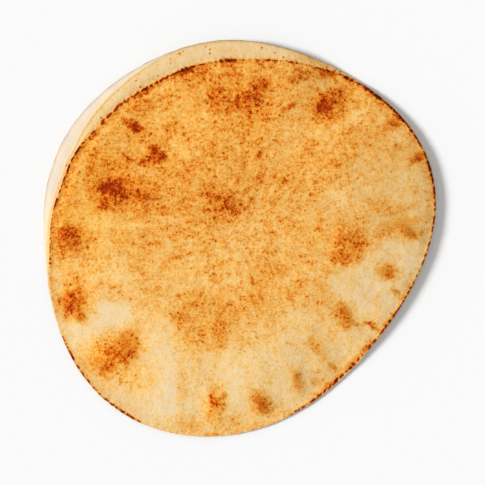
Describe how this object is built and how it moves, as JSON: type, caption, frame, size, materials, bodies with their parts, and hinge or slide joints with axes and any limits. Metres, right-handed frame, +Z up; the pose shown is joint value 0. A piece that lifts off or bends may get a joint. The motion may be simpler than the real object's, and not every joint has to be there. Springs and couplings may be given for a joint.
{
  "type": "pita bread",
  "caption": "Thin round pocket flatbread, uncut, with a low domed top, a scorched seam round its edge, a rolled rim on one side and a flat underside to rest on.",
  "frame": {"origin": "on the surface that the loaf lies on, under the middle of the loaf's box", "axes": "+Z up through the thin way of the loaf, out of its top face; +X to the right and +Y to the far side as the loaf is seen from above, with the rolled rim at the far left"},
  "size_m": [0.236, 0.2388, 0.0119],
  "materials": {
    "baked_crust": "dry baked flatbread crust, cream to golden with scorched spots, matte"
  },
  "bodies": {
    "root": {"pita_bread": "baked_crust"}
  },
  "joints": []
}
